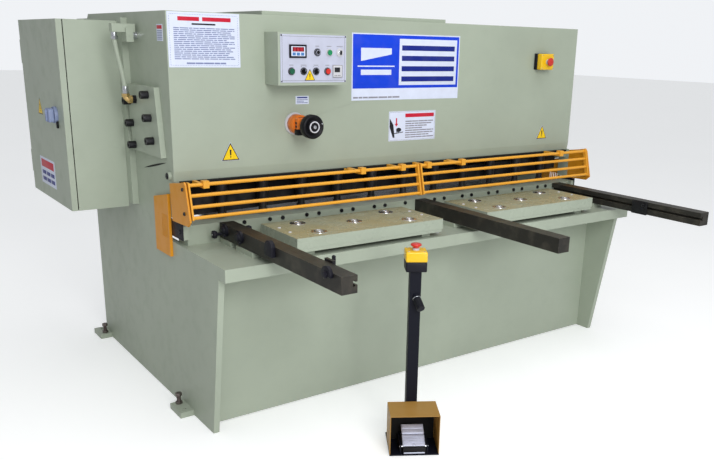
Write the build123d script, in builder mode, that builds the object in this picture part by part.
"""Hydraulic swing-beam guillotine shear with front support arms, ball tables and a foot station.

Millimetres, +Z up, +Y towards the back. The origin is on the floor, at the centre of the four
anchor holes in the feet. Sheet metal goes in from the front (-Y), over the bed at WORK_Z.
"""
import os
from math import cos, radians, sin

from build123d import *

os.makedirs("parts", exist_ok=True)

# ---- driving dimensions -------------------------------------------------------------------------
HALF_W = 1300            # half the width over the side plates
PLATE_T = 28             # side plate thickness
IN_X = HALF_W - PLATE_T  # inner face of a side plate
TOP_Z = 1839             # top of the frame
WORK_Z = 915             # sheet level: bed, arms and ball tops
PANEL_Y = -585           # front face of the front panel
PANEL_T = 12
PANEL_LOW_Z = 1109       # bottom edge of the front panel
FOLD_Z = 1154            # bend line above the panel's bottom strip
BACK_Y = PANEL_Y + 1240  # rear edge of the side plates

TABLE_Z = 823            # top of the low front table
TABLE_LIP = 58
TABLE_FRONT_Y = PANEL_Y - 507
TABLE_REAR_Y = PANEL_Y + 23
APRON_Y = PANEL_Y - 235  # front face of the lower apron

CUT_Y = PANEL_Y + 56     # rear face of the lower blade
BED_FRONT_Y = PANEL_Y - 55
BLADE_T = 20
BLADE_H = 80
BLADE_HALF = 1250        # half the cutting length
BLADE_GAP = 0.9          # upper blade face behind CUT_Y at rest
OPENING = 20             # left end of the upper blade above the bed at rest
RAKE = 52                # how much higher the right end of the upper blade is

PIVOT_Y = PANEL_Y + 756
PIVOT_Z = 951
PIVOT_R = 35
RUN_GAP = 0.05           # radial clearance of a running shaft
ARM_X = 1172             # swing arms and cylinder axes

CYL_Y = PANEL_Y + 307    # centre of the main cylinder
CYL_Z = 1355
CYL_TILT = 10            # degrees, top leaning back
CYL_R = 68
CYL_LENGTH = 340
ROD_OUT = 60             # rod showing below the barrel at rest
ROD_R = 30
DOME_R = 55              # spherical tip of a rod
SEAT_GAP = 0.6           # rod tip above its seat at rest

HOLD_PITCH = 213.8
HOLD_COUNT = 11
HOLD_Y = PANEL_Y + 14

ARM_W = 70               # square section of the support arms
ARM_END_Y = PANEL_Y - 1098
ARM_LEFT_X = -1115       # left face of each arm
ARM_MID_X = 33
ARM_RIGHT_X = 1120

PAD_L = 820
PAD_W = 343
PAD_TOP = 908
PAD_H = 50
PAD_Y = PANEL_Y - 321.5
PAD_X = (-543, 573)
BALL_R = 15
BALL_DX = 255
BALL_DY = 98

BAR_R = 8                # finger guard bars, front to back and top to bottom
BAR_YZ = [(PANEL_Y - 140, 1114), (PANEL_Y - 151, 1069), (PANEL_Y - 164, 1021), (PANEL_Y - 176, 975)]
GUARD_END = 1298
GUARD_SPLIT = (-28, -16)
LUG_X = (-1214, -379, -128, 45, 285, 1074)

ANCHOR_X = 1333
ANCHOR_Y = 645
ANCHOR_R = 9

CABINET_Y = (PANEL_Y + 556, PANEL_Y + 1310)
CABINET_Z = (905, 1800)
CABINET_X = (-1576, -1330)
DOOR_X = (-1608, -1580)
SHEET = 3

BOX_X = (-837, -468)     # control box on the panel
BOX_Z = (1532, 1765)
BOX_Y = PANEL_Y - 130
BEZEL_R = 15
BUTTON_R = 10.5

WHEEL_X = -683
WHEEL_Z = 1345
WHEEL_R = 56
SPINDLE_R = 10

ESTOP_X = 990
ESTOP_Z = 1646

STATION_TURN = -30.9     # degrees, the foot station is turned towards the operator
STATION = Plane(
    origin=(-657.5, -1570, 0),
    x_dir=(cos(radians(STATION_TURN)), sin(radians(STATION_TURN)), 0),
    z_dir=(0, 0, 1),
)
GUARD_W = 218
GUARD_D = 150
GUARD_H = 188
POST = 50
POST_TOP = 795
POST_Y = GUARD_D + 31
ESTOP_W = 93
ESTOP_H = 89
PEDAL_AXIS_Y = 26
PEDAL_AXIS_Z = 32
PEDAL_AXLE_R = 6


# ---- helpers ------------------------------------------------------------------------------------
def keep(sub_part, name):
    """Label a finished sub-part and write its STEP file."""
    sub_part.part.label = name
    export_step(sub_part.part, f"parts/{name}.step")


def block(x, y, z, mode=Mode.ADD, place=Location()):
    """A box between low and high values along each axis."""
    middle = (sum(x) / 2, sum(y) / 2, sum(z) / 2)
    with Locations(place * Location(middle)):
        Box(x[1] - x[0], y[1] - y[0], z[1] - z[0], mode=mode)


def bar(start, axis, radius, length, mode=Mode.ADD, place=Location()):
    """A round bar from a start point along an axis."""
    with Locations(place * Plane(origin=start, z_dir=axis).location):
        Cylinder(radius, length, align=(Align.CENTER, Align.CENTER, Align.MIN), mode=mode)


def plate(outline, x_from, x_to, mode=Mode.ADD):
    """A side outline, as (y, z) points, made solid between two x values."""
    with BuildSketch(Plane.YZ.offset(x_from)) as profile:
        with BuildLine():
            Polyline(*outline, close=True)
        make_face()
    extrude(profile.sketch, amount=x_to - x_from, mode=mode)


def front_plate(outline, y_from, y_to, mode=Mode.ADD):
    """A front outline, as (x, z) points, made solid between two y values."""
    with BuildSketch(Plane.XZ.offset(-y_from)) as profile:
        with BuildLine():
            Polyline(*outline, close=True)
        make_face()
    extrude(profile.sketch, amount=y_from - y_to, mode=mode)


def mirrored(side, x_from, x_to):
    """An x range given for the right side, moved to the side asked for, low value first."""
    return (x_from, x_to) if side > 0 else (-x_to, -x_from)


def cylinder_point(along):
    """A (y, z) point on the main cylinder's axis, measured upwards from its centre."""
    return CYL_Y + along * sin(radians(CYL_TILT)), CYL_Z + along * cos(radians(CYL_TILT))


def blade_edge(x):
    """Height of the raked upper cutting edge at rest."""
    return WORK_Z + OPENING + RAKE * (x + BLADE_HALF) / (2 * BLADE_HALF)


# axis of the main cylinders, up and down
CYL_AXIS = (0, sin(radians(CYL_TILT)), cos(radians(CYL_TILT)))
CYL_DOWN = (0, -sin(radians(CYL_TILT)), -cos(radians(CYL_TILT)))

# ---- side plates --------------------------------------------------------------------------------
SIDE_OUTLINE = [
    (PANEL_Y - 320, 0),
    (BACK_Y, 0),
    (BACK_Y, TOP_Z - 130),
    (BACK_Y - 130, TOP_Z),
    (PANEL_Y + PANEL_T, TOP_Z),
    (PANEL_Y + PANEL_T, 1060),
    (PANEL_Y + 225, 1010),
    (PANEL_Y + 225, TABLE_Z),
    (TABLE_REAR_Y, TABLE_Z),
    (TABLE_REAR_Y, TABLE_Z - TABLE_LIP),
    (PANEL_Y - 441, TABLE_Z - TABLE_LIP),
]
MOUNT_T = 25             # welded cylinder pad, proud of the side plate
MOUNT_OUTLINE = [
    (PANEL_Y + 78, 1206),
    (PANEL_Y + 448, 1206),
    (PANEL_Y + 482, 1515),
    (PANEL_Y + 121, 1515),
]
BOLT_STEP = 103.3        # along the cylinder
BOLT_SIDE = 124          # either side of the cylinder's axis
BOSS_R = 85              # pivot boss on the plate and the hub that runs on its stub
BOSS_L = 66
STUB_L = 150
FOOT_T = 28
FOOT_OUT = 68
FOOT_L = 132
LEVEL_GAP = 68           # levelling bolt to anchor hole
LEVEL_R = 10
LEVEL_TALL = 72
FOOT_SPAN = (ANCHOR_Y + 38 - FOOT_L, ANCHOR_Y + 38)


def side_plate(side, name):
    """A side plate with its feet, cylinder pad, pivot stub and boss, all welded on."""
    with BuildPart() as sub_part:
        plate(SIDE_OUTLINE, *mirrored(side, IN_X, HALF_W))
        for end in (-1, 1):
            block(mirrored(side, HALF_W, HALF_W + FOOT_OUT), mirrored(end, *FOOT_SPAN), (0, FOOT_T))
            bar((side * ANCHOR_X, end * ANCHOR_Y, 0), (0, 0, 1), ANCHOR_R, FOOT_T, Mode.SUBTRACT)
            bar((side * ANCHOR_X, end * (ANCHOR_Y - LEVEL_GAP), 0), (0, 0, 1), LEVEL_R, FOOT_T,
                Mode.SUBTRACT)
        plate(MOUNT_OUTLINE, *mirrored(side, HALF_W, HALF_W + MOUNT_T))
        bar((side * IN_X, PIVOT_Y, PIVOT_Z), (-side, 0, 0), BOSS_R, BOSS_L)
        bar((side * IN_X, PIVOT_Y, PIVOT_Z), (-side, 0, 0), PIVOT_R, STUB_L)
        bar((side * HALF_W, PANEL_Y + 45, 1130), (side, 0, 0), 20, 14)
    keep(sub_part, name)


side_plate(-1, "left_side_plate")
side_plate(1, "right_side_plate")

with BuildPart() as levelling_bolts:
    for sx, sy in [(-1, -1), (-1, 1), (1, -1), (1, 1)]:
        foot = (sx * ANCHOR_X, sy * (ANCHOR_Y - LEVEL_GAP), 0)
        bar(foot, (0, 0, 1), LEVEL_R, LEVEL_TALL)
        for low, across, tall in ((FOOT_T, 17, 14), (LEVEL_TALL, 16, 13)):
            with BuildSketch(Plane(origin=(foot[0], foot[1], low))):
                RegularPolygon(across, 6)
            extrude(amount=tall)
keep(levelling_bolts, "levelling_bolts")

# ---- front panel, cover, apron and table --------------------------------------------------------
with BuildPart() as front_panel:
    plate(
        [
            (PANEL_Y, TOP_Z),
            (PANEL_Y, FOLD_Z),
            (PANEL_Y + 6, PANEL_LOW_Z),
            (PANEL_Y + 6 + PANEL_T, PANEL_LOW_Z),
            (PANEL_Y + PANEL_T, FOLD_Z),
            (PANEL_Y + PANEL_T, TOP_Z),
        ],
        -HALF_W,
        HALF_W,
    )
    for side in (-1, 1):
        block(mirrored(side, IN_X, HALF_W), (PANEL_Y + PANEL_T, PANEL_Y + 20), (1060, FOLD_Z), Mode.SUBTRACT)
    bar((WHEEL_X, PANEL_Y - 5, WHEEL_Z), (0, 1, 0), SPINDLE_R + RUN_GAP, PANEL_T + 10, Mode.SUBTRACT)
keep(front_panel, "front_panel")

LID_X = (-835, 262)
LID_H = 18
with BuildPart() as top_cover:
    block(LID_X, (PANEL_Y + 20, PANEL_Y + 640), (TOP_Z, TOP_Z + LID_H))
    fillet(top_cover.edges().filter_by(Axis.Z), 6)
keep(top_cover, "top_cover")

with BuildPart() as lower_apron:
    block((-IN_X, IN_X), (APRON_Y, APRON_Y + PANEL_T), (5, TABLE_Z - 16))
keep(lower_apron, "lower_apron")

TABLE_T = 16
ARM_LEFTS = (ARM_LEFT_X, ARM_MID_X, ARM_RIGHT_X)
BRACKET_Y = ((PANEL_Y - 179, PANEL_Y - 62), (PANEL_Y - 392, PANEL_Y - 229))
with BuildPart() as work_table:
    block((-HALF_W, HALF_W), (TABLE_FRONT_Y, TABLE_REAR_Y), (TABLE_Z - TABLE_T, TABLE_Z))
    block((-HALF_W, HALF_W), (TABLE_FRONT_Y, TABLE_FRONT_Y + PANEL_T), (TABLE_Z - TABLE_LIP, TABLE_Z))
    for side in (-1, 1):
        ends = mirrored(side, HALF_W - PANEL_T, HALF_W)
        block(ends, (TABLE_FRONT_Y, TABLE_REAR_Y), (TABLE_Z - TABLE_LIP, TABLE_Z))
    for arm_x in ARM_LEFTS:
        for bracket in BRACKET_Y:
            block((arm_x - 4, arm_x + ARM_W + 4), bracket, (TABLE_Z, WORK_Z - ARM_W))
keep(work_table, "work_table")

# ---- bed and lower blade ------------------------------------------------------------------------
PAIR_PITCH = 205         # pairs of screws along the bed, none behind an arm
PAIR_HALF = 35
ALL_SCREW_X = [PAIR_PITCH * pair + offset for pair in range(-5, 6) for offset in (-PAIR_HALF, PAIR_HALF)]
SCREW_X = [x for x in ALL_SCREW_X if all(abs(x - left - ARM_W / 2) > 50 for left in ARM_LEFTS)]
SCREW_Z = WORK_Z - 13
SCREW_HEAD_R = 9.5
SCREW_OUT = 5            # screw head proud of the bed
BED_LOW_Z = 420
with BuildPart() as blade_bed:
    plate(
        [
            (BED_FRONT_Y, TABLE_Z),
            (TABLE_REAR_Y + 1, TABLE_Z),
            (TABLE_REAR_Y + 1, BED_LOW_Z),
            (CUT_Y, BED_LOW_Z),
            (CUT_Y, WORK_Z - BLADE_H),
            (CUT_Y - BLADE_T, WORK_Z - BLADE_H),
            (CUT_Y - BLADE_T, WORK_Z),
            (BED_FRONT_Y, WORK_Z),
        ],
        -IN_X,
        IN_X,
    )
    for side in (-1, 1):
        block(mirrored(side, IN_X, HALF_W - 2), (BED_FRONT_Y - 20, CUT_Y - BLADE_T),
              (WORK_Z - 60, WORK_Z + 4))
    for x in SCREW_X:
        bar((x, BED_FRONT_Y, SCREW_Z), (0, 1, 0), SCREW_HEAD_R + 0.5, 8, Mode.SUBTRACT)
keep(blade_bed, "blade_bed")

with BuildPart() as lower_blade:
    block((-BLADE_HALF, BLADE_HALF), (CUT_Y - BLADE_T, CUT_Y), (WORK_Z - BLADE_H, WORK_Z))
keep(lower_blade, "lower_blade")

with BuildPart() as bed_screws:
    for x in SCREW_X:
        bar((x, BED_FRONT_Y - SCREW_OUT, SCREW_Z), (0, 1, 0), SCREW_HEAD_R, 13)
        with BuildSketch(Plane(origin=(x, BED_FRONT_Y - SCREW_OUT, SCREW_Z), z_dir=(0, 1, 0))):
            RegularPolygon(4.5, 6)
        extrude(amount=6, mode=Mode.SUBTRACT)
keep(bed_screws, "bed_screws")

# ---- hold-downs ---------------------------------------------------------------------------------
HOLD_X = [HOLD_PITCH * (i - (HOLD_COUNT - 1) / 2) for i in range(HOLD_COUNT)]
FLANGE_LOW = PANEL_LOW_Z - 16
BODY_LOW = 985
FOOT_LOW = 936
PLUNGER_R = 18
with BuildPart() as hold_down_beam:
    block((-IN_X, IN_X), (PANEL_Y - 16, PANEL_Y + 66), (FLANGE_LOW, PANEL_LOW_Z))
    block((-IN_X, IN_X), (PANEL_Y + 24, PANEL_Y + 52), (PANEL_LOW_Z, 1200))
keep(hold_down_beam, "hold_down_beam")

with BuildPart() as hold_down_cylinders:
    for x in HOLD_X:
        bar((x, HOLD_Y, BODY_LOW), (0, 0, 1), 28, FLANGE_LOW - BODY_LOW)
        bar((x, HOLD_Y, BODY_LOW - 1), (0, 0, 1), PLUNGER_R + RUN_GAP, 96, Mode.SUBTRACT)
keep(hold_down_cylinders, "hold_down_cylinders")

with BuildPart() as hold_down_plungers:
    for x in HOLD_X:
        bar((x, HOLD_Y, FOOT_LOW), (0, 0, 1), 22, 12)
        bar((x, HOLD_Y, FOOT_LOW), (0, 0, 1), PLUNGER_R, 130)
keep(hold_down_plungers, "hold_down_plungers")

# ---- ties and power pack ------------------------------------------------------------------------
with BuildPart() as rear_tie_beams:
    block((-IN_X, IN_X), (PANEL_Y + PANEL_T, PANEL_Y + 36), (TOP_Z - 60, TOP_Z))
    block((-IN_X, IN_X), (PANEL_Y + 1000, PANEL_Y + 1100), (1560, 1680))
    block((-IN_X, IN_X), (PANEL_Y + 560, PANEL_Y + 620), (1440, 1500))
    block((-IN_X, IN_X), (PANEL_Y + 1120, PANEL_Y + 1220), (120, 240))
    block((-IN_X, IN_X), (PANEL_Y + 200, PANEL_Y + 260), (60, 180))
keep(rear_tie_beams, "rear_tie_beams")

TANK_X = (-825, 252)
with BuildPart() as hydraulic_power_pack:
    block(TANK_X, (PANEL_Y + 40, PANEL_Y + 630), (1500, TOP_Z))
    bar((TANK_X[1], PANEL_Y + 330, 1650), (1, 0, 0), 70, 40)
    bar((TANK_X[1] + 40, PANEL_Y + 330, 1650), (1, 0, 0), 95, 300)
    block((TANK_X[1] + 110, TANK_X[1] + 230), (PANEL_Y + 290, PANEL_Y + 370), (1735, 1775))
keep(hydraulic_power_pack, "hydraulic_power_pack")

# ---- main cylinders -----------------------------------------------------------------------------
with BuildPart() as main_cylinders:
    for side in (-1, 1):
        y, z = cylinder_point(-CYL_LENGTH / 2)
        bar((side * ARM_X, y, z), CYL_AXIS, CYL_R, CYL_LENGTH)
        pad = Plane(origin=(side * ARM_X, CYL_Y, CYL_Z), x_dir=(1, 0, 0), z_dir=CYL_AXIS).location
        block(mirrored(side, 60, IN_X - ARM_X), (-150, 150), (-150, 150), place=pad)
        bar((side * ARM_X, y, z), CYL_AXIS, ROD_R + RUN_GAP, CYL_LENGTH - 40, Mode.SUBTRACT)
keep(main_cylinders, "main_cylinders")

BOLT_R = 18
BOLT_H = 36
with BuildPart() as cylinder_bolts:
    for side in (-1, 1):
        outer = side * (HALF_W + MOUNT_T)
        for across in (-BOLT_SIDE, BOLT_SIDE):
            for along in (-BOLT_STEP, 0, BOLT_STEP):
                y, z = cylinder_point(along)
                y += across * cos(radians(CYL_TILT))
                z -= across * sin(radians(CYL_TILT))
                bar((outer, y, z), (side, 0, 0), BOLT_R, BOLT_H)
                bar((outer + side * BOLT_H / 2, y, z), (side, 0, 0), 8, BOLT_H / 2, Mode.SUBTRACT)
keep(cylinder_bolts, "cylinder_bolts")

ROD_TIP = CYL_LENGTH / 2 + ROD_OUT
ROD_LENGTH = 260
ROD_PLANE_Z = (0, CYL_AXIS[2], -CYL_AXIS[1])
with BuildPart() as cylinder_rods:
    for side in (-1, 1):
        y, z = cylinder_point(-ROD_TIP)
        with BuildSketch(Plane(origin=(side * ARM_X, y, z), x_dir=(1, 0, 0), z_dir=ROD_PLANE_Z)):
            with BuildLine():
                dome_rise = DOME_R - (DOME_R**2 - ROD_R**2) ** 0.5
                edge = RadiusArc((0, 0), (ROD_R, -dome_rise), DOME_R)
                Polyline(edge @ 1, (ROD_R, -ROD_LENGTH), (0, -ROD_LENGTH), (0, 0))
            make_face()
        revolve(axis=Axis((side * ARM_X, y, z), CYL_AXIS))
keep(cylinder_rods, "cylinder_rods")

# ---- swing beam and upper blade -----------------------------------------------------------------
UPPER_FACE = CUT_Y + BLADE_GAP
NOSE_REAR = PANEL_Y + 140
SEAT_R = 44
BEAM_HALF = 1222         # half the beam's width above its nose
BEAM_TOP_Z = 1330
ARM_HALF_T = 22          # half the thickness of a swing arm


def raked(low_offset, high_offset, half):
    """A front outline whose bottom and top follow the raked cutting edge."""
    return [
        (-half, blade_edge(-half) + low_offset),
        (half, blade_edge(half) + low_offset),
        (half, blade_edge(half) + high_offset),
        (-half, blade_edge(-half) + high_offset),
    ]


with BuildPart() as upper_blade:
    front_plate(raked(0, BLADE_H, BLADE_HALF), UPPER_FACE, UPPER_FACE + BLADE_T)
keep(upper_blade, "upper_blade")

with BuildPart() as swing_beam:
    front_plate(raked(6, BLADE_H, BLADE_HALF), UPPER_FACE + BLADE_T, NOSE_REAR)
    front_plate(
        [
            (-BEAM_HALF, blade_edge(-BEAM_HALF) + BLADE_H),
            (BEAM_HALF, blade_edge(BEAM_HALF) + BLADE_H),
            (BEAM_HALF, BEAM_TOP_Z),
            (-BEAM_HALF, BEAM_TOP_Z),
        ],
        PANEL_Y + 102,
        NOSE_REAR,
    )
    block((-1080, 1080), (NOSE_REAR, PANEL_Y + 260), (BEAM_TOP_Z - 30, BEAM_TOP_Z))
    for x in (-720, -360, 0, 360, 720):
        plate(
            [(NOSE_REAR, 1020), (NOSE_REAR, BEAM_TOP_Z - 30), (PANEL_Y + 250, BEAM_TOP_Z - 30)],
            x - 8,
            x + 8,
        )
    for side in (-1, 1):
        arm = mirrored(side, ARM_X - ARM_HALF_T, ARM_X + ARM_HALF_T)
        plate(
            [
                (NOSE_REAR, 985),
                (PANEL_Y + 300, 905),
                (PIVOT_Y, PIVOT_Z - BOSS_R),
                (PIVOT_Y, PIVOT_Z + BOSS_R),
                (PANEL_Y + 340, 1090),
                (PANEL_Y + 185, 1118),
                (NOSE_REAR, 1200),
            ],
            *arm,
        )
        bar((arm[0], PIVOT_Y, PIVOT_Z), (1, 0, 0), BOSS_R, arm[1] - arm[0])
        seat_y, seat_z = cylinder_point(-ROD_TIP - SEAT_GAP)
        bar((side * ARM_X, seat_y, seat_z), CYL_DOWN, SEAT_R, 40)
        bar((arm[0] - 1, PIVOT_Y, PIVOT_Z), (1, 0, 0), PIVOT_R + RUN_GAP, 46, Mode.SUBTRACT)
keep(swing_beam, "swing_beam")

# ---- back gauge ---------------------------------------------------------------------------------
RAIL_X = 900
RAIL_Z = 800
RAIL_R = 15
SCREW_R = 14
GAUGE_Y = PANEL_Y + 205
RAIL_END_Y = PANEL_Y + 1000
with BuildPart() as gauge_rails:
    for x in (-RAIL_X, RAIL_X):
        bar((x, CUT_Y, RAIL_Z), (0, 1, 0), RAIL_R, RAIL_END_Y - CUT_Y)
    block((-IN_X, IN_X), (RAIL_END_Y, RAIL_END_Y + 40), (RAIL_Z - 35, RAIL_Z + 35))
    bar((0, RAIL_END_Y - 1, RAIL_Z), (0, 1, 0), SCREW_R + RUN_GAP, 42, Mode.SUBTRACT)
keep(gauge_rails, "gauge_rails")

with BuildPart() as back_gauge:
    block((-1080, 1080), (GAUGE_Y, GAUGE_Y + 30), (WORK_Z - 30, WORK_Z + 45))
    for x in (-RAIL_X, 0, RAIL_X):
        block((x - 42, x + 42), (GAUGE_Y, GAUGE_Y + 120), (RAIL_Z - 32, WORK_Z - 30))
    for x in (-RAIL_X, RAIL_X):
        bar((x, GAUGE_Y - 1, RAIL_Z), (0, 1, 0), RAIL_R + RUN_GAP, 122, Mode.SUBTRACT)
    bar((0, GAUGE_Y - 1, RAIL_Z), (0, 1, 0), SCREW_R + RUN_GAP, 122, Mode.SUBTRACT)
keep(back_gauge, "back_gauge")

with BuildPart() as lead_screw:
    bar((0, CUT_Y + 6, RAIL_Z), (0, 1, 0), SCREW_R, RAIL_END_Y + 60 - CUT_Y)
    bar((0, RAIL_END_Y + 46, RAIL_Z), (0, 1, 0), 48, 10)
keep(lead_screw, "lead_screw")

# ---- handwheel ----------------------------------------------------------------------------------
with BuildPart() as indicator_housing:
    bar((WHEEL_X, PANEL_Y, WHEEL_Z), (0, -1, 0), 54, 10)
    bar((WHEEL_X, PANEL_Y - 10, WHEEL_Z), (0, -1, 0), 46, 52)
    block((WHEEL_X - 34, WHEEL_X + 34), (PANEL_Y - 92, PANEL_Y - 62), (WHEEL_Z - 48, WHEEL_Z + 34))
    bar((WHEEL_X, PANEL_Y + 1, WHEEL_Z), (0, -1, 0), SPINDLE_R + RUN_GAP, 110, Mode.SUBTRACT)
keep(indicator_housing, "indicator_housing")

with BuildPart() as handwheel:
    bar((WHEEL_X, PANEL_Y + 60, WHEEL_Z), (0, -1, 0), SPINDLE_R, 200)
    bar((WHEEL_X, PANEL_Y - 130, WHEEL_Z), (0, -1, 0), 24, 14)
    with BuildSketch(Plane(origin=(WHEEL_X, PANEL_Y - 144, WHEEL_Z), z_dir=(0, -1, 0))):
        Circle(WHEEL_R)
        with PolarLocations(WHEEL_R + 2, 12):
            Circle(7, mode=Mode.SUBTRACT)
    extrude(amount=40)
    bar((WHEEL_X, PANEL_Y - 184, WHEEL_Z), (0, -1, 0), 42, 8)
    bar((WHEEL_X, PANEL_Y - 184, WHEEL_Z), (0, -1, 0), 16, 14)
keep(handwheel, "handwheel")

# ---- hydraulics on the left side ----------------------------------------------------------------
PIPE_Y = PANEL_Y + 370
PIPE_R = 11
NUT_R = 17
with BuildPart() as manifold_block:
    block((-1418, -1312), (PIPE_Y - 19, PIPE_Y + 19), (1748, 1785))
    block((-1358, -1325), (PIPE_Y - 30, PIPE_Y + 30), (1706, 1766))
    bar((-1325, PIPE_Y, 1736), (1, 0, 0), 17, 25)
keep(manifold_block, "manifold_block")

PIPE_TOP = (-1404, PIPE_Y, 1733)
PIPE_LOW = (-1370, PIPE_Y, 1480)
with BuildPart() as hydraulic_pipe:
    with BuildLine():
        Spline(
            PIPE_TOP,
            (-1398, PIPE_Y, 1690),
            (-1374, PIPE_Y, 1520),
            PIPE_LOW,
            tangents=((0, 0, -1), (0, 0, -1)),
        )
    with BuildSketch(Plane(origin=PIPE_TOP, z_dir=(0, 0, -1))):
        Circle(PIPE_R)
    sweep()
    bar((PIPE_TOP[0], PIPE_Y, 1716), (0, 0, 1), NUT_R, 32)
    bar((PIPE_LOW[0], PIPE_Y, 1474), (0, 0, 1), NUT_R, 34)
keep(hydraulic_pipe, "hydraulic_pipe")

with BuildPart() as brass_elbow:
    bar((PIPE_LOW[0], PIPE_Y, 1448), (0, 0, 1), 14, 26)
    with Locations((PIPE_LOW[0], PIPE_Y, 1448)):
        Sphere(16)
    bar((PIPE_LOW[0], PIPE_Y, 1448), (1, 0, 0), 14, 24)
    bar((PIPE_LOW[0] + 24, PIPE_Y, 1448), (1, 0, 0), 20, 21)
keep(brass_elbow, "brass_elbow")

# ---- electrical cabinet -------------------------------------------------------------------------
HINGE_X = DOOR_X[0] + 4
HINGE_Y = CABINET_Y[1] + 4
HINGE_Z = (1060, 1640)
KNUCKLE_R = 5
KNUCKLE_H = 40
HINGE_PIN_R = 3
with BuildPart() as electrical_cabinet:
    block(CABINET_X, CABINET_Y, CABINET_Z)
    block(
        (CABINET_X[0], CABINET_X[1] - SHEET),
        (CABINET_Y[0] + SHEET, CABINET_Y[1] - SHEET),
        (CABINET_Z[0] + SHEET, CABINET_Z[1] - SHEET),
        Mode.SUBTRACT,
    )
    block((CABINET_X[1], -HALF_W), (PANEL_Y + 494, PANEL_Y + 1220), (925, 1815))
    block((CABINET_X[1] - 40, CABINET_X[1] - SHEET), (CABINET_Y[0] + 60, CABINET_Y[1] - 60),
          (CABINET_Z[0] + 80, CABINET_Z[1] - 80))
    for z in HINGE_Z:
        for low in (z - KNUCKLE_H - 0.4, z + KNUCKLE_H + 0.4):
            bar((HINGE_X, HINGE_Y, low - KNUCKLE_H / 2), (0, 0, 1), KNUCKLE_R, KNUCKLE_H)
            block((HINGE_X, CABINET_X[0] + 40), (CABINET_Y[1], CABINET_Y[1] + SHEET),
                  (low - KNUCKLE_H / 2, low + KNUCKLE_H / 2))
        bar((HINGE_X, HINGE_Y, z - 1.5 * KNUCKLE_H), (0, 0, 1), HINGE_PIN_R, 3 * KNUCKLE_H)
keep(electrical_cabinet, "electrical_cabinet")

ISO_Y = PANEL_Y + 693
ISO_Z = 1357
ISO_BASE_R = 38
ISO_HALF = 33
ISO_SHAFT_R = 8
with BuildPart() as cabinet_door:
    block(DOOR_X, (CABINET_Y[0], CABINET_Y[1] - 2), CABINET_Z)
    block(
        (DOOR_X[0] + SHEET, DOOR_X[1]),
        (CABINET_Y[0] + SHEET, CABINET_Y[1] - 2 - SHEET),
        (CABINET_Z[0] + SHEET, CABINET_Z[1] - SHEET),
        Mode.SUBTRACT,
    )
    bar((DOOR_X[0], ISO_Y, ISO_Z), (-1, 0, 0), ISO_BASE_R, 16)
    bar((DOOR_X[0] + 4, ISO_Y, ISO_Z), (-1, 0, 0), ISO_SHAFT_R + RUN_GAP, 24, Mode.SUBTRACT)
    for z in HINGE_Z:
        middle = (z - KNUCKLE_H / 2, z + KNUCKLE_H / 2)
        block((DOOR_X[0], DOOR_X[0] + 6), (CABINET_Y[1] - 4, HINGE_Y), middle)
        bar((HINGE_X, HINGE_Y, middle[0]), (0, 0, 1), KNUCKLE_R, KNUCKLE_H)
        bar((HINGE_X, HINGE_Y, middle[0] - 1), (0, 0, 1), HINGE_PIN_R + RUN_GAP, KNUCKLE_H + 2, Mode.SUBTRACT)
keep(cabinet_door, "cabinet_door")

with BuildPart() as isolator_knob:
    bar((DOOR_X[0] + 6, ISO_Y, ISO_Z), (-1, 0, 0), ISO_SHAFT_R, 28)
    across = (ISO_Y - ISO_HALF, ISO_Y + ISO_HALF)
    block((DOOR_X[0] - 43, DOOR_X[0] - 17), across, (ISO_Z - ISO_HALF, ISO_Z + ISO_HALF))
    block((DOOR_X[0] - 51, DOOR_X[0] - 43), (ISO_Y - 8, ISO_Y + 8), (ISO_Z - 28, ISO_Z + 28))
keep(isolator_knob, "isolator_knob")

# ---- control box --------------------------------------------------------------------------------
FACE_T = 3
FACE_Y = BOX_Y - FACE_T
BEZEL_H = 5
CONTROLS = {
    "start_button": (-570, 1680),
    "key_switch": (-511, 1680),
    "cycle_button": (-771, 1595),
    "mode_selector": (-707, 1595),
    "stroke_selector": (-641, 1595),
    "stop_button": (-579, 1595),
}
JOG_LAMP = (-634, 1680)
STEM_GAP = 0.4           # a control's stem in its hole
DISPLAY = ((-782, -694), (1655, 1712))
HOUR_METER = ((-552, -498), (1567, 1624))
with BuildPart() as control_box:
    block(BOX_X, (BOX_Y, PANEL_Y), BOX_Z)
    block((BOX_X[0] + 2, BOX_X[1] - 2), (BOX_Y + 2, PANEL_Y), (BOX_Z[0] + 2, BOX_Z[1] - 2), Mode.SUBTRACT)
    for x, z in CONTROLS.values():
        bar((x, BOX_Y - 1, z), (0, 1, 0), BUTTON_R + STEM_GAP, 6, Mode.SUBTRACT)
keep(control_box, "control_box")

with BuildPart() as control_face:
    block((BOX_X[0] + 11, BOX_X[1] - 7), (FACE_Y, BOX_Y), (BOX_Z[0] + 13, BOX_Z[1] - 8))
    for x, z in (DISPLAY, HOUR_METER):
        block(x, (FACE_Y - 6, FACE_Y), z)
    for x, z in [*CONTROLS.values(), JOG_LAMP]:
        bar((x, FACE_Y, z), (0, -1, 0), BEZEL_R, BEZEL_H)
    bar((JOG_LAMP[0], FACE_Y - BEZEL_H, JOG_LAMP[1]), (0, -1, 0), BUTTON_R, 6)
    for x, z in CONTROLS.values():
        hole = (x, FACE_Y - BEZEL_H - 1, z)
        bar(hole, (0, 1, 0), BUTTON_R + STEM_GAP, BEZEL_H + FACE_T + 2, Mode.SUBTRACT)
keep(control_face, "control_face")


def control(name, proud, lever):
    """One operator on the control box: a round cap on a stem, with a lever bar if it turns."""
    x, z = CONTROLS[name]
    with BuildPart() as sub_part:
        bar((x, FACE_Y - BEZEL_H - proud, z), (0, 1, 0), BUTTON_R, BEZEL_H + proud + FACE_T + 12)
        if lever:
            block((x - 3.5, x + 3.5), (FACE_Y - BEZEL_H - proud - 10, FACE_Y - BEZEL_H - proud),
                  (z - 10, z + 10))
    keep(sub_part, name)


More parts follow.
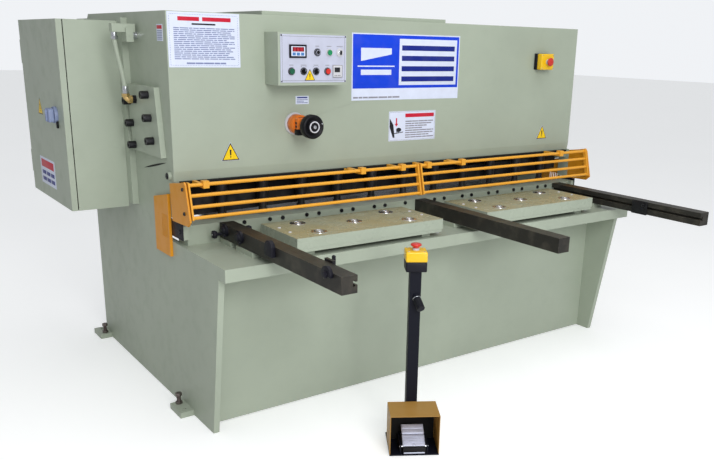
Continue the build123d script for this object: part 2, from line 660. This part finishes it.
control("start_button", 6, False)
control("cycle_button", 6, False)
control("stop_button", 6, False)
control("mode_selector", 5, True)
control("stroke_selector", 5, True)
control("key_switch", 4, True)

# ---- emergency stop on the panel ----------------------------------------------------------------
STOP_STEM_R = 8
STOP_HEAD_R = 24
COLLAR_R = 15
COLLAR_H = 8
ESTOP_BOX_Y = PANEL_Y - 60
with BuildPart() as panel_estop_box:
    block((ESTOP_X - 53, ESTOP_X + 53), (ESTOP_BOX_Y, PANEL_Y), (ESTOP_Z - 46, ESTOP_Z + 46))
    fillet(panel_estop_box.edges().filter_by(Axis.Y), 5)
    bar((ESTOP_X, ESTOP_BOX_Y - COLLAR_H, ESTOP_Z), (0, 1, 0), COLLAR_R, COLLAR_H)
    bar((ESTOP_X, ESTOP_BOX_Y - 9, ESTOP_Z), (0, 1, 0), STOP_STEM_R + STEM_GAP, 44, Mode.SUBTRACT)
keep(panel_estop_box, "panel_estop_box")


def mushroom(name, place):
    """A mushroom head on a stem, its base on the plane's XY and rising along its Z."""
    with BuildPart() as sub_part:
        bar((0, 0, -20), (0, 0, 1), STOP_STEM_R, 38, place=place)
        bar((0, 0, 15), (0, 0, 1), STOP_HEAD_R, 15, place=place)
        above = (place * Location((0, 0, 60))).position
        rim = sub_part.edges().filter_by(GeomType.CIRCLE).sort_by_distance(above)[0]
        fillet(rim, 5)
    keep(sub_part, name)


mushroom("panel_estop_head", Plane(origin=(ESTOP_X, ESTOP_BOX_Y, ESTOP_Z), z_dir=(0, -1, 0)).location)

# ---- plates on the panel ------------------------------------------------------------------------
SIGN_T = 1.5
SIGNS = [
    ((-1295, -960), (1606, 1836)),
    ((-355, 350), (1446, 1775)),
    ((-117, 197), (1230, 1385)),
    ((-676, -603), (1436, 1475)),
]
SIGN_TRIANGLES = ((-1023, 1188), (1049, 1188))
TRIANGLE_HALF = 46
TRIANGLE_H = 84
with BuildPart() as sign_plates:
    for x, z in SIGNS:
        block(x, (PANEL_Y - SIGN_T, PANEL_Y), z)
    for x, z in SIGN_TRIANGLES:
        corners = [(x - TRIANGLE_HALF, z), (x + TRIANGLE_HALF, z), (x, z + TRIANGLE_H)]
        front_plate(corners, PANEL_Y - SIGN_T, PANEL_Y)
    block((-HALF_W - SIGN_T, -HALF_W), (PANEL_Y + 40, PANEL_Y + 108), (1714, 1784))
keep(sign_plates, "sign_plates")

# ---- finger guards ------------------------------------------------------------------------------
FLAT_OUTLINE = [
    (PANEL_Y - 129, 1127),
    (PANEL_Y - 153, 1127),
    (PANEL_Y - 190, 968),
    (PANEL_Y - 166, 960),
]


def finger_guard(x_from, x_to, name):
    """Half of the finger guard: four bars joined by a flat at each end."""
    with BuildPart() as sub_part:
        for y, z in BAR_YZ:
            bar((x_from, y, z), (1, 0, 0), BAR_R, x_to - x_from)
        plate(FLAT_OUTLINE, x_from, x_from + 8)
        plate(FLAT_OUTLINE, x_to - 8, x_to)
    keep(sub_part, name)


finger_guard(-GUARD_END, GUARD_SPLIT[0], "left_finger_guard")
finger_guard(GUARD_SPLIT[1], GUARD_END, "right_finger_guard")

with BuildPart() as guard_end_plates:
    for side in (-1, 1):
        plate(
            [
                (PANEL_Y + 30, 1100),
                (PANEL_Y - 89, 1119),
                (PANEL_Y - 140, 1130),
                (PANEL_Y - 152, 1116),
                (PANEL_Y - 192, 960),
                (PANEL_Y - 165, 937),
                (PANEL_Y + 15, 931),
            ],
            *mirrored(side, HALF_W + 4, HALF_W + 12),
        )
        block(mirrored(side, HALF_W, HALF_W + 4), (PANEL_Y + 13, PANEL_Y + 29), (1065, 1098))
keep(guard_end_plates, "guard_end_plates")

SWITCH_X = (-400, 265)
LUG_LOW = 1098           # block that carries the top bar of a guard
LUG_TOP = 1113
with BuildPart() as guard_brackets:
    for x in SWITCH_X:
        block((x - 12, x + 12), (PANEL_Y - 74, PANEL_Y - 46), (FLANGE_LOW + 2, LUG_TOP))
        bar((x, PANEL_Y - 47, FLANGE_LOW + 10), (0, 1, 0), 7, 31)
    for x in LUG_X:
        block((x - 8, x + 8), (PANEL_Y - 130, PANEL_Y - 16), (FLANGE_LOW + 2, LUG_TOP))
        block((x - 14, x + 14), (PANEL_Y - 156, PANEL_Y - 124), (LUG_LOW, LUG_LOW + 32))
        bar((x - 15, *BAR_YZ[0]), (1, 0, 0), BAR_R + RUN_GAP, 30, Mode.SUBTRACT)
keep(guard_brackets, "guard_brackets")

# ---- side covers --------------------------------------------------------------------------------
COVER_T = 14
with BuildPart() as side_covers:
    for side in (-1, 1):
        plate(
            [(PANEL_Y + 60, 751), (PANEL_Y + 240, 751), (PANEL_Y + 238, 1009), (PANEL_Y + 58, 1046)],
            *mirrored(side, HALF_W, HALF_W + COVER_T),
        )
        plate(
            [(PANEL_Y + 63, 754), (PANEL_Y + 237, 754), (PANEL_Y + 235, 1006), (PANEL_Y + 61, 1042)],
            *mirrored(side, HALF_W, HALF_W + COVER_T - 3),
            Mode.SUBTRACT,
        )
        for slot in range(5):
            y = PANEL_Y + 76 + 15 * slot
            block(mirrored(side, HALF_W, HALF_W + COVER_T), (y, y + 6), (835, 945), Mode.SUBTRACT)
keep(side_covers, "side_covers")

# ---- support arms -------------------------------------------------------------------------------
ARM_Y = (ARM_END_Y, BED_FRONT_Y)
ARM_Z = (WORK_Z - ARM_W, WORK_Z)
SLOT_Z = WORK_Z - 32


def slotted_arm(x_left, slot_side, name):
    """A solid square arm with a T-slot along one face."""
    slot_face = x_left if slot_side < 0 else x_left + ARM_W
    with BuildPart() as sub_part:
        block((x_left, x_left + ARM_W), ARM_Y, ARM_Z)
        for near, far, half in ((0, 10, 6), (10, 20, 12)):
            depth = sorted((slot_face - slot_side * near, slot_face - slot_side * far))
            block(depth, ARM_Y, (SLOT_Z - half, SLOT_Z + half), Mode.SUBTRACT)
    keep(sub_part, name)


slotted_arm(ARM_LEFT_X, 1, "squaring_arm")
slotted_arm(ARM_RIGHT_X, -1, "right_arm")

with BuildPart() as middle_arm:
    block((ARM_MID_X, ARM_MID_X + ARM_W), ARM_Y, ARM_Z)
    block((ARM_MID_X + 5, ARM_MID_X + ARM_W - 5), (ARM_END_Y + 6, BED_FRONT_Y),
          (ARM_Z[0] + 5, ARM_Z[1] - 5), Mode.SUBTRACT)
keep(middle_arm, "middle_arm")

FLIP_Y = PANEL_Y - 1012
FLIP_Z = WORK_Z - 8
with BuildPart() as flip_stop:
    bar((ARM_LEFT_X - 0.5, FLIP_Y, FLIP_Z), (-1, 0, 0), 33, 16)
    bar((ARM_LEFT_X - 16.5, FLIP_Y, FLIP_Z), (-1, 0, 0), 14, 10)
    block((ARM_LEFT_X - 16.5, ARM_LEFT_X - 0.5), (FLIP_Y - 34, FLIP_Y + 34),
          (FLIP_Z - 34, FLIP_Z - 8), Mode.SUBTRACT)
keep(flip_stop, "flip_stop")

with BuildPart() as arm_knobs:
    bar((ARM_LEFT_X, PANEL_Y - 568, WORK_Z - 8), (-1, 0, 0), 34, 22)
    block((ARM_LEFT_X - 22, ARM_LEFT_X), (PANEL_Y - 602, PANEL_Y - 534), (WORK_Z - 70, WORK_Z - 42),
          Mode.SUBTRACT)
    for y in (PANEL_Y - 120, PANEL_Y - 275):
        bar((ARM_LEFT_X, y, WORK_Z - 24), (-1, 0, 0), 30, 14)
        bar((ARM_LEFT_X - 14, y, WORK_Z - 24), (-1, 0, 0), 24, 10)
    bar((ARM_LEFT_X - 24, PANEL_Y - 120, WORK_Z - 38), (-1, 0, 0), 8, 22)
    with BuildSketch(Plane(origin=(ARM_LEFT_X - 46, PANEL_Y - 120, WORK_Z - 38), z_dir=(-1, 0, 0))):
        Circle(19)
        with PolarLocations(23, 6):
            Circle(8, mode=Mode.SUBTRACT)
    extrude(amount=22)
    with BuildSketch(Plane(origin=(ARM_LEFT_X + ARM_W, PANEL_Y - 168, WORK_Z - 22), z_dir=(1, 0, 0))):
        Circle(20)
        with PolarLocations(24, 6):
            Circle(8, mode=Mode.SUBTRACT)
    extrude(amount=34)
keep(arm_knobs, "arm_knobs")

CLAMP_Y = (PANEL_Y - 925, PANEL_Y - 865)
CLAMP_X = ARM_LEFT_X + ARM_W
with BuildPart() as slot_stop:
    block((CLAMP_X - 18.5, CLAMP_X - 11.5), CLAMP_Y, (SLOT_Z - 10, SLOT_Z + 10))
    block((CLAMP_X - 12, CLAMP_X + 0.5), CLAMP_Y, (SLOT_Z - 5, SLOT_Z + 5))
    block((CLAMP_X + 0.5, CLAMP_X + 14), CLAMP_Y, (SLOT_Z - 18, WORK_Z + 10))
    bar((CLAMP_X + 14, PANEL_Y - 880, SLOT_Z), (1, 0, 0), 7, 26)
    block((CLAMP_X + 28, CLAMP_X + 40), (PANEL_Y - 885, PANEL_Y - 875), (SLOT_Z - 30, SLOT_Z + 48))
keep(slot_stop, "slot_stop")

# ---- ball tables --------------------------------------------------------------------------------
BALL_AT = [(0, 0), (-BALL_DX, -BALL_DY), (-BALL_DX, BALL_DY), (BALL_DX, -BALL_DY), (BALL_DX, BALL_DY)]
with BuildPart() as ball_tables:
    for pad_x in PAD_X:
        x = (pad_x - PAD_L / 2, pad_x + PAD_L / 2)
        y = (PAD_Y - PAD_W / 2, PAD_Y + PAD_W / 2)
        block(x, y, (PAD_TOP - PAD_H, PAD_TOP))
        block((x[0] + 5, x[1] - 5), (y[0] + 5, y[1] - 5), (PAD_TOP - PAD_H, PAD_TOP - 8), Mode.SUBTRACT)
        for end in (-330, 330):
            block((pad_x + end - 25, pad_x + end + 25), (y[0] + 30, y[1] - 30), (TABLE_Z, PAD_TOP - 8))
        for dx, dy in BALL_AT:
            bar((pad_x + dx, PAD_Y + dy, PAD_TOP - 42), (0, 0, 1), 22, 44)
            bar((pad_x + dx, PAD_Y + dy, PAD_TOP), (0, 0, 1), 28, 2)
            with Locations((pad_x + dx, PAD_Y + dy, WORK_Z - BALL_R)):
                Sphere(BALL_R + 0.3, mode=Mode.SUBTRACT)
            bar((pad_x + dx, PAD_Y + dy, PAD_TOP - 6), (0, 0, 1), BALL_R, 10, Mode.SUBTRACT)
keep(ball_tables, "ball_tables")

with BuildPart() as transfer_balls:
    for pad_x in PAD_X:
        for dx, dy in BALL_AT:
            with Locations((pad_x + dx, PAD_Y + dy, WORK_Z - BALL_R)):
                Sphere(BALL_R)
keep(transfer_balls, "transfer_balls")

# ---- foot station -------------------------------------------------------------------------------
AT = STATION.location
HALF_G = GUARD_W / 2
BASE_T = 6               # base plate under the post and guard
with BuildPart() as station_guard:
    block((-HALF_G, HALF_G), (0, GUARD_D), (BASE_T + 0.2, GUARD_H), place=AT)
    block((-HALF_G + 3, HALF_G - 3), (-1, GUARD_D - 3), (BASE_T + 0.2, GUARD_H - 3), Mode.SUBTRACT, AT)
keep(station_guard, "station_guard")

with BuildPart() as station_post:
    block((-HALF_G, HALF_G), (0, GUARD_D + 60), (0, BASE_T), place=AT)
    around = (POST_Y - POST / 2, POST_Y + POST / 2)
    block((-POST / 2, POST / 2), around, (BASE_T, POST_TOP), place=AT)
    for side in (-1, 1):
        block(mirrored(side, 56, 62), (14, 130), (BASE_T, 46), place=AT)
    bar((-70, PEDAL_AXIS_Y, PEDAL_AXIS_Z), (1, 0, 0), PEDAL_AXLE_R + RUN_GAP, 140, Mode.SUBTRACT, AT)
    with Locations(AT * Plane(origin=(0, POST_Y - 10, 690), z_dir=(0.25, -0.75, -0.60)).location):
        Cylinder(17, 84, align=(Align.CENTER, Align.CENTER, Align.MIN))
keep(station_post, "station_post")

with BuildPart() as station_estop_box:
    around = (POST_Y - ESTOP_W / 2, POST_Y + ESTOP_W / 2)
    block((-ESTOP_W / 2, ESTOP_W / 2), around, (POST_TOP, POST_TOP + ESTOP_H), place=AT)
    bar((0, POST_Y, POST_TOP + ESTOP_H), (0, 0, 1), COLLAR_R, COLLAR_H, place=AT)
    bar((0, POST_Y, POST_TOP + 40), (0, 0, 1), STOP_STEM_R + STEM_GAP, 70, Mode.SUBTRACT, AT)
keep(station_estop_box, "station_estop_box")

mushroom("station_estop_head", AT * Location((0, POST_Y, POST_TOP + ESTOP_H)))

PEDAL_SLOPE = 29         # degrees
PEDAL_HALF = 50
RIB_PITCH = 18
with BuildPart() as foot_pedal:
    tilted = AT * Location((0, PEDAL_AXIS_Y, PEDAL_AXIS_Z), (PEDAL_SLOPE, 0, 0))
    block((-PEDAL_HALF, PEDAL_HALF), (-6, 108), (4, 12), place=tilted)
    for row in range(5):
        rib = (6 + RIB_PITCH * row, 14 + RIB_PITCH * row)
        block((-PEDAL_HALF + 3, PEDAL_HALF - 3), rib, (12, 15), place=tilted)
    bar((-64, PEDAL_AXIS_Y, PEDAL_AXIS_Z), (1, 0, 0), PEDAL_AXLE_R, 128, place=AT)
keep(foot_pedal, "foot_pedal")
